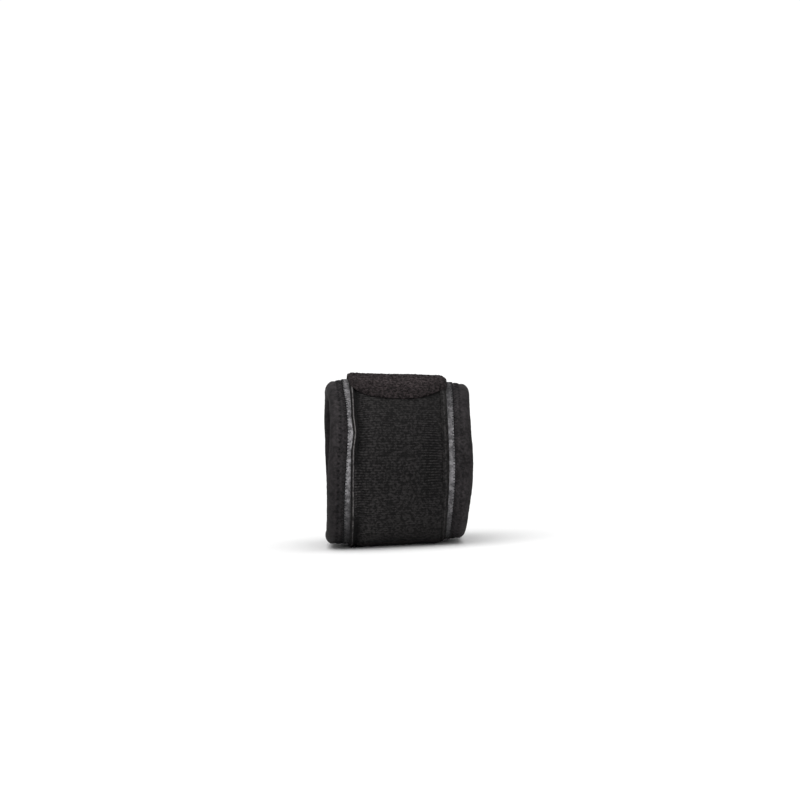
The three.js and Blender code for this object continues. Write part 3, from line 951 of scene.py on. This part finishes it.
def strap_face():
    """The face between the welts, with ribs on its outside.

    Its level is the sum of a dip beside each welt and at the tab's corner, slow unevenness, and the
    ribs' depth in their grooves. The crest mark holds painted light and shade: a painted highlight on
    the ribs' own wave, painted shade in deep grooves and where the welts and the tab hide the face,
    painted light towards the underside and on the elbow side, a little painted shade towards the
    wrist side, and painted highlights of short folds beside the elbow-side ridge.
    """
    place = strap_places(STRAP_ROWS)
    outside = np.concatenate([np.linspace(-1, -0.7, 15), np.linspace(-0.7, 1, 31)[1:]])
    outside = outside * (FACE_HALF + SEWN_TO_WELT)
    inside = np.linspace(FACE_HALF, -FACE_HALF, 4)
    across = np.concatenate([outside, inside])[None, :]
    top = np.arange(across.size)[None, :] < len(outside)
    share = across / FACE_HALF
    sink = swell(share, -1, 0.24) + 0.35 * swell(share, 0.95, 0.35)
    gather = swell(share, -0.92, 0.28)
    pulled = swell(share, 0.74, 0.34) * swell(place, 0.46 * HALF_LOOP, 0.34 * HALF_LOOP)
    patchy = soft_noise(74, place, across, 0.022, 0.016) * 0.5 + 0.5
    even_part = 0.25 * smooth_step(share, -0.6, 0.6) * (1 - pulled)
    strength = np.clip(0.5 + 0.5 * np.maximum(gather, pulled) + 0.35 * patchy - even_part, 0, 1)
    crest_and_painted_light = ribs(place, across, strength)
    depth = RIB_DEPTH + GATHERED_DEPTH * gather + PULLED_DEPTH * pulled
    edge = tab_edge(across)
    relief = relief_at(place, edge - UNDER_TIP)
    corner = smooth_step(share, 0.62, 0.85) * swell(place, edge + 0.001, 0.007)
    dip = -FACE_SINK * np.maximum(sink, 1.2 * corner)
    dip = dip + SLOW_BUMPS * soft_noise(75, place, across, 0.014, 0.012)
    ribbed = relief * (dip - 0.0001) + (crest_and_painted_light - 1) * depth * smooth_step(relief, 0, 0.3)
    level = np.minimum(ribbed, 0) - shoulder_drop(across, place)
    level = np.where(top, level, STRAP_UNDERSIDE)
    across = across + pinch_at(place) * np.maximum(0, -across) / FACE_HALF + STRAP_OFFSET
    # Painted shade in the valley beside the elbow-side welt and under the tab's corner.
    shaded = np.maximum(swell(share, -1, 0.12), 0.8 * corner)
    # Painted shade in the deep grooves of the gathered and pulled ribs.
    groove_shade = (0.2 * gather + 0.45 * pulled) * (1 - crest_and_painted_light)
    low = place / HALF_LOOP
    # Painted light towards the underside and on the elbow side, and a little painted shade towards the wrist
    # side.
    painted_light = 0.6 * smooth_step(low, 0.5, 0.9) + 1.4 * smooth_step(low, 0.8, 1)
    painted_light = painted_light + 0.3 * (1 - smooth_step(share, -0.9, -0.2)) - 0.12 * smooth_step(share, 0.1, 0.7)
    crest_and_painted_light = crest_and_painted_light * (1 - 0.8 * shaded) - groove_shade + painted_light * (1 - 0.7 * shaded) - 0.15 * shaded
    # Painted highlights of short folds beside the elbow-side ridge.
    crest_and_painted_light = crest_and_painted_light + 2.2 * flutes(place) * swell(share, -1, 0.1)
    crest_and_painted_light = np.where(top, crest_and_painted_light, 0)
    return skin("tension_strap_dressed", across, level, place, False, {"crest_and_painted_light": crest_and_painted_light})


strap = finish(strap_face(), black_knit, "black_knit", "tension_strap")

# %% [markdown]
# ## The welts
# On the elbow side the strap's edge is folded into a tight roll that stands above the face. Its
# narrow crest gets a painted highlight for the light that it catches, and the valley beside it gets
# painted shade. On the wrist side the edge is only a soft shoulder with a faint ridge and a faint
# painted highlight. Both are sections given by a few points, with soft noise on them.

# %% Welt sections
WELT_ROUNDS = 900
WELT_POINTS = 36


def welt_section(points, count):
    """A line through a few points of share across and level, sampled closely and smoothed twice."""
    points = np.asarray(points, dtype=float)
    share = np.linspace(0, 1, count)
    spline = np.interp(share, points[:, 0], points[:, 1])
    for _ in range(2):
        spline[1:-1] = (spline[:-2] + 2 * spline[1:-1] + spline[2:]) / 4
    return share, spline


def welt(name, profile, inner_corner, side, front_end):
    """A welt carried round the cuff: its profile outside, and a flat underside.

    The level is the profile, at full height where the relief shows, plus noise and the faint wave of
    the ribs. On the wrist side it also falls away with the shoulder.
    """
    place = strap_places(WELT_ROUNDS)
    share, height = welt_section(profile, WELT_POINTS)
    if side < 0:
        across_line = -STRAP_HALF + share * WELT_WIDTH
    else:
        across_line = WELT_INNER + share * WELT_WIDTH
    under = np.linspace(across_line[-1], across_line[0], 3)
    across = np.concatenate([across_line, under])[None, :]
    base = np.concatenate([height, np.full(len(under), STRAP_UNDERSIDE)])[None, :]
    top = np.arange(across.size)[None, :] < len(share)
    uneven = soft_noise(81 + side, place, across, 0.010, 0.004) * 0.00012
    grain = soft_noise(83 + side, place, across, 0.0012, 0.0020) * 0.00005
    cross = 0.5 + 0.5 * np.cos(rib_turn(place))
    rolled = np.where(top, (cross - 1) * 0.00006 + grain + uneven, 0)
    if side < 0:
        relief = relief_at(place, front_end)
        high = np.where(base > 0, base * relief, base) + rolled * smooth_step(relief, 0, 0.3)
        level = np.where(top, high, base)
        across = across + pinch_at(place)
    else:
        drop = -shoulder_drop(across, place) + base * relief_at(place, TAB_FRONT)
        level = np.where(top, drop + rolled * clear_of_rest(place) - 0.00003, base)
        level = np.maximum(level, STRAP_UNDERSIDE + 0.00005 * top)
    # The welt's painted highlight and painted shade, stored on its points.
    crest_and_painted_light = inner_corner(across - (pinch_at(place) if side < 0 else 0), place, top)
    return skin(name, across + STRAP_OFFSET, level, place, False, {"crest_and_painted_light": crest_and_painted_light})


ELBOW_PROFILE = [(0, -0.0014), (0.05, -0.0004), (0.12, 0.0003), (0.2, 0.0008), (0.3, 0.0009), (0.38, 0.0007)]
ELBOW_PROFILE += [(0.5, 0.0001), (0.65, -0.0005), (0.85, -0.0009), (1, -0.001)]
WRIST_PROFILE = [(0, -0.0004), (0.08, -0.00035), (0.3, 0.0001), (0.5, 0.0003), (0.75, 0.0001)]
WRIST_PROFILE += [(0.93, 0), (1, -0.0002)]
CREST_LINE = 0.36  # where the elbow-side crest lies, as a share of the welt's width
CREST_HALF = 0.00045  # half the width of its pale line
# The elbow-side crest gets a painted highlight, standing for the light that its narrow crest catches.
HIGHLIGHT = 13  # how pale the line is, with more of it at the upper front and less low down
HIGHLIGHT_UPPER = 11
HIGHLIGHT_LOWER = -11.8


def elbow_crest(across, place, top):
    """A painted highlight on the narrow crest, most at the upper front, and painted shade in the valley but
    for the painted highlights of its folds.
    """
    line = -STRAP_HALF + CREST_LINE * WELT_WIDTH
    valley = smooth_step(across, line + 0.0003, line + 0.0012)
    highlight = HIGHLIGHT + HIGHLIGHT_UPPER * swell(place, 0.33 * HALF_LOOP, 0.3 * HALF_LOOP)
    highlight = highlight + HIGHLIGHT_LOWER * smooth_step(place, 0.6 * HALF_LOOP, 0.86 * HALF_LOOP)
    highlight = highlight * (1 + 0.55 * soft_noise(96, place, across, 0.0014, 0.01))
    # Painted shade in the valley, with painted highlights on its folds.
    valley = valley * (4 * flutes(place) - 0.35)
    return np.where(top, 0.1 + valley + highlight * swell(across, line, CREST_HALF), 0)


def wrist_crest(across, place, top):
    """A faint painted highlight on the ridge in the middle of the welt."""
    return np.where(top, 0.35 + 0.9 * swell(across, WELT_INNER + 0.5 * WELT_WIDTH, 0.0009), 0 * place)


elbow_welt = welt("elbow_welt", ELBOW_PROFILE, elbow_crest, -1, TAB_FRONT - TAB_TIP_LENGTH / 2)
wrist_welt = welt("wrist_welt", WRIST_PROFILE, wrist_crest, 1, TAB_FRONT)
finish(elbow_welt, black_knit, "black_knit", "elbow_side_welt")
finish(wrist_welt, black_knit, "black_knit", "wrist_side_welt")

# %% [markdown]
# ## The hook tab
# The tab is the end of the strap, closed over the cuff's top. Its tip follows a curve a little
# blunter than an ellipse and is cut aslant on the wrist side, so its width at each place follows
# from that. The pile needs the same care as the grey strip: a bumpy cloth with thousands of small
# loops on it.

# %% Tab cloth
TAB_LOOPS = 3700
TAB_ROUNDING = (0.0006, 0.0008)  # how deep the outside is rounded off at its edge, and over what width
TAB_THINNING = (0.0005, 0.0014)  # added to them at the tip and along the elbow side
TIP_SHADE_LENGTH = 0.017  # from the tip's edge to where the painted shade at the tip has gone
PILE_MARGIN = 0.0005  # left free of loops along the tab's sides


def tab_half_width(place):
    """The tab's half width, narrowing along a curve a little blunter than an ellipse at its tip."""
    into_tip = np.clip((place - (TAB_FRONT - TAB_TIP_LENGTH)) / TAB_TIP_LENGTH, 0, 1)
    return TAB_HALF * (1 - into_tip**TAB_TIP_POWER) ** (1 / TAB_TIP_POWER)


def tab_level(across, place):
    """The tab's outside: its thickness, less a rounding that grows as a square root towards its edges,
    plus bumps, and falling away with the shoulder. The tip and the elbow side are rounded further."""
    from_edge = np.minimum(tab_half_width(place) - np.abs(across), (TAB_FRONT - place) * 1.5)
    thin = smooth_step(-across, 0.7 * TAB_HALF, 0.9 * TAB_HALF)
    thin = np.maximum(thin, smooth_step(place, TAB_FRONT - TAB_TIP_LENGTH, TAB_FRONT - TAB_TIP_LENGTH / 2))
    rounding = np.clip(from_edge / (TAB_ROUNDING[1] + TAB_THINNING[1] * thin), 0, 1)
    round_off = (TAB_ROUNDING[0] + TAB_THINNING[0] * thin) * (1 - np.sqrt(rounding))
    bumps = soft_noise(91, place, across, 0.0016, 0.0016) * 0.00011
    bumps = bumps + soft_noise(92, place, across, 0.0008, 0.0008) * 0.00007
    slow = soft_noise(93, place, across, 0.014, 0.014) * 0.00012
    return GAP + TAB_THICKNESS - round_off + bumps + slow - tab_drop(across)


def tab_place(across, place):
    """The place of a point of the tab once its tip is cut aslant."""
    return place - tip_slant(across, (place - TAB_FRONT) / TAB_TIP_LENGTH + 1)


def tab_drop(across):
    """How far the tab falls away with the strap's shoulder below it."""
    return np.minimum(shoulder_drop(across - STRAP_OFFSET + TAB_OFFSET), SHOULDER_DROP)


def clear_of_tip_shade(across, place):
    """How far the pile is clear of the painted shade at the tip: not at all at the rounded tip, and fully a
    little above it.
    """
    return smooth_step(tab_edge(across) - place, 0, TIP_SHADE_LENGTH)


def hook_tab():
    """The tab's cloth: rows from its back end to its tip, each as wide as the tab is there.

    The rows lie evenly on the straight part and follow the tip's curve by its angle. Across, the
    points follow a sine, so that they lie closer together near the edges.
    """
    straight = np.linspace(-TAB_BACK, TAB_FRONT - TAB_TIP_LENGTH, 132)
    turn = np.linspace(0, math.radians(89), 66)[1:]
    tip = TAB_FRONT - TAB_TIP_LENGTH + TAB_TIP_LENGTH * np.sin(turn) ** (2 / TAB_TIP_POWER)
    place = np.concatenate([straight, tip])[:, None]
    share = np.sin(np.linspace(-0.5, 0.5, 101) * math.pi * 0.9) / math.sin(0.45 * math.pi)
    width = tab_half_width(place)
    outside = share[None, :] * width
    inside = np.linspace(1, -1, 16)[None, :] * width
    level = np.concatenate([tab_level(outside, place), GAP - tab_drop(inside)], axis=1)
    across = np.concatenate([outside, inside], axis=1)
    place = tab_place(across, place)
    marks = {"shade": np.broadcast_to(0.3, level.shape), "clear_of_tip_shade": clear_of_tip_shade(across, place)}
    return skin("hook_tab_dressed", across + TAB_OFFSET, level, place, False, marks)


def tab_pile(count):
    """Loops all over the tab's outside, each at the level of the cloth below it."""
    random = np.random.default_rng(95)
    place = random.uniform(-TAB_BACK + 0.0008, TAB_FRONT - 0.0006, count)
    across = random.uniform(-1, 1, count) * (TAB_HALF - PILE_MARGIN)
    kept = np.abs(across) < tab_half_width(place) - PILE_MARGIN
    place, across = place[kept], across[kept]
    some, level = len(place), tab_level(across, place) - 0.00005
    place = tab_place(across, place)
    return threads(
        "hook_tab_pile",
        across=across + TAB_OFFSET,
        level=level,
        place=place,
        heading=random.uniform(0, math.pi, some),
        reach=random.uniform(0.0006, 0.0013, some),
        rise=random.uniform(0.0001, 0.0003, some),
        radius=random.uniform(0.00009, 0.00015, some),
        steps=5,
        marks={"shade": random.uniform(0, 1, some) ** 1.5, "clear_of_tip_shade": clear_of_tip_shade(across, place)},
    )


tab = finish(hook_tab(), hook_pile, "hook_pile", "hook_tab")
tab_loops = finish(tab_pile(TAB_LOOPS), hook_pile, "hook_pile")

# %% [markdown]
# ## Floor, light and camera
# The photograph is a studio picture on white, taken a little from the elbow side. A pale floor and a
# pale sky give that. A wide key lamp above the cuff leaves its underside darker, and a weaker lamp in
# front lights the strap's face. The camera stands far away with a long lens, so that the cuff's two
# ends keep nearly the same size.

# %% Floor and lamps
FLOOR_HALF = 6.0


def floor():
    """A pale square, far wider than the view."""
    corners = np.array([(-1, -1, 0), (1, -1, 0), (1, 1, 0), (-1, 1, 0)]) * FLOOR_HALF
    piece = mesh_object("floor", corners, [[0, 1, 2, 3]])
    material = bpy.data.materials.new("pale floor")
    material.use_nodes = True
    shader = material.node_tree.nodes["Principled BSDF"]
    shader.inputs["Base Color"].default_value = (0.88, 0.88, 0.88, 1)
    shader.inputs["Roughness"].default_value = 0.7
    piece.data.materials.append(material)
    return piece


def wide_lamp(name, away, spread, strength):
    """A lamp so far away that it lights everything evenly, with soft shadows from its spread."""
    data = bpy.data.lights.new(name, "SUN")
    data.angle = math.radians(spread)
    data.energy = strength
    piece = bpy.data.objects.new(name, data)
    bpy.context.scene.collection.objects.link(piece)
    piece.location = Vector(away).normalized()
    piece.rotation_euler = (-Vector(away)).to_track_quat("-Z", "Y").to_euler()
    return piece


def pale_sky(seen, shining):
    """A white sky. The camera sees it brighter than it shines on the cuff."""
    world = bpy.data.worlds.new("pale sky")
    world.use_nodes = True
    world.node_tree.nodes.clear()
    net = Value(world.node_tree)
    path = net.node("ShaderNodeLightPath", output="Is Camera Ray")
    strength = path * (seen - shining) + shining
    background = net.node("ShaderNodeBackground", None, {"Color": (1, 1, 1, 1), "Strength": strength})
    net.node("ShaderNodeOutputWorld", None, {"Surface": background})
    return world


floor()
cuff_middle = Vector((0, 0, CUFF_HEIGHT / 2))
wide_lamp("key lamp", (-0.15, -0.42, 1.5), spread=75, strength=2.6)
wide_lamp("front lamp", (0.1, -1.0, 0.03), spread=50, strength=1.1)
bpy.context.scene.world = pale_sky(seen=1.05, shining=0.5)
bpy.context.scene.view_settings.view_transform = "Standard"

# %% Camera
FRAME_PIXELS = 800
METRES_PER_PIXEL = 0.00056
CAMERA_DISTANCE = 2.4
CAMERA_AZIMUTH = math.radians(-2.0)
CAMERA_HEIGHT_TURN = math.radians(2.5)
CAMERA_ROLL = math.radians(2.5)
CUFF_PIXEL = (398, 460)  # where the middle of the cuff lies in the photograph
SENSOR_WIDTH = 36.0


def camera():
    """A camera on a sphere round the cuff, rolled, and shifted so that the cuff's middle lands on its
    pixel. Its right and up directions are turned by the roll first."""
    away = Vector(
        (
            math.sin(CAMERA_AZIMUTH) * math.cos(CAMERA_HEIGHT_TURN),
            -math.cos(CAMERA_AZIMUTH) * math.cos(CAMERA_HEIGHT_TURN),
            math.sin(CAMERA_HEIGHT_TURN),
        )
    )
    level_right = Vector((0, 0, 1)).cross(away).normalized()
    level_up = away.cross(level_right)
    right = level_right * math.cos(CAMERA_ROLL) - level_up * math.sin(CAMERA_ROLL)
    up = level_right * math.sin(CAMERA_ROLL) + level_up * math.cos(CAMERA_ROLL)
    from_middle = [pixel - FRAME_PIXELS / 2 for pixel in CUFF_PIXEL]
    data = bpy.data.cameras.new("camera")
    data.sensor_width = SENSOR_WIDTH
    data.lens = SENSOR_WIDTH * CAMERA_DISTANCE / (FRAME_PIXELS * METRES_PER_PIXEL)
    print("the lens is", round(data.lens), "mm long")
    piece = bpy.data.objects.new("camera", data)
    bpy.context.scene.collection.objects.link(piece)
    shift = up * from_middle[1] - right * from_middle[0]
    place = cuff_middle + away * CAMERA_DISTANCE + shift * METRES_PER_PIXEL
    turn = Matrix((right, up, away)).transposed()
    piece.matrix_world = Matrix.Translation(place) @ turn.to_4x4()
    return piece


bpy.context.scene.camera = camera()
